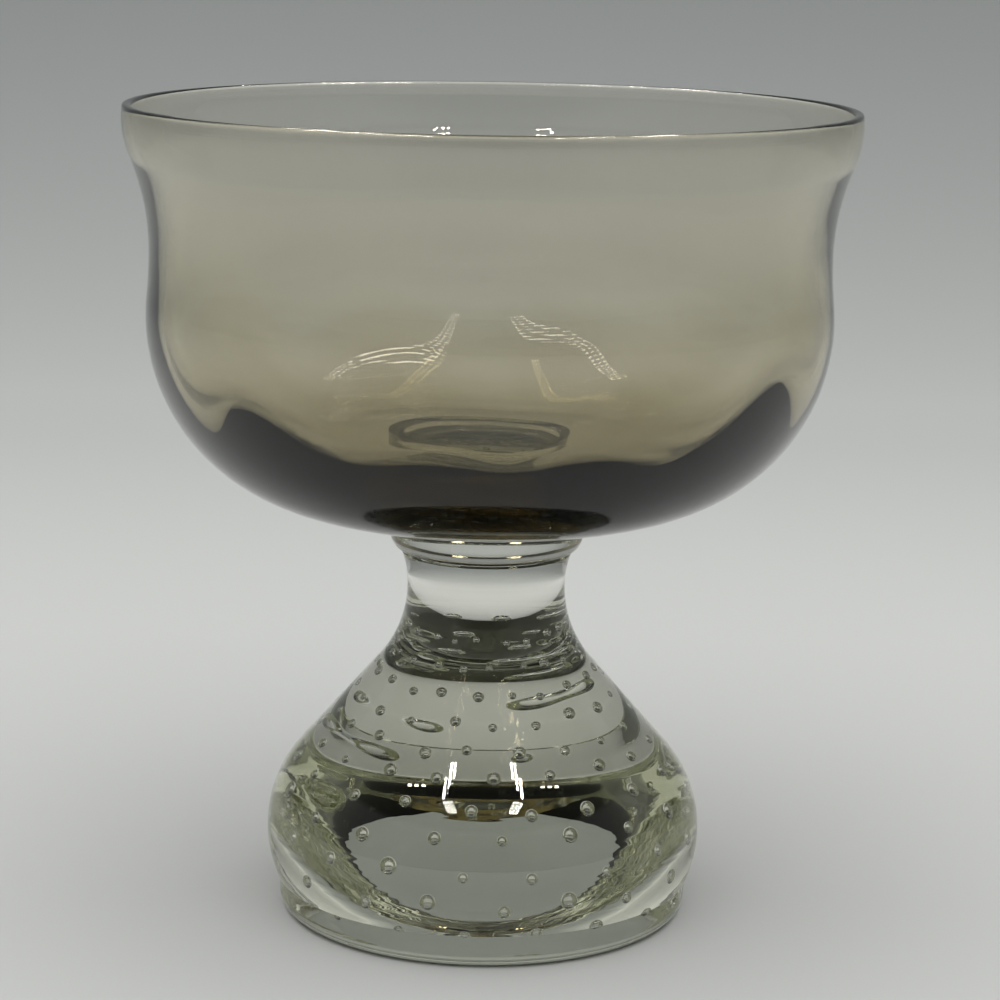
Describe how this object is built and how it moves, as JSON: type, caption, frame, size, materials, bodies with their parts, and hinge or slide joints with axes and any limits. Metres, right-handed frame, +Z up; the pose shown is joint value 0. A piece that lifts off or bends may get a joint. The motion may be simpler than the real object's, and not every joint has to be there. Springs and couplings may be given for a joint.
{
  "type": "footed compote dish",
  "caption": "Smoke glass bowl with soft panels inside and a flared lip, joined by a clear collar to a heavy clear foot with rows of trapped air bubbles.",
  "frame": {"origin": "middle of the flat ground base of the foot", "axes": "+Z up along the axis of the dish, towards the rim"},
  "size_m": [0.1, 0.1, 0.1126],
  "materials": {
    "smoke_glass": "fire-polished transparent smoke glass, olive grey where thin and nearly black where thick",
    "clear_glass": "fire-polished clear glass with a faint olive tint in depth"
  },
  "bodies": {
    "root": {"bowl": "smoke_glass", "collar": "clear_glass", "foot_core": "clear_glass", "foot_casing": "clear_glass"}
  },
  "joints": []
}
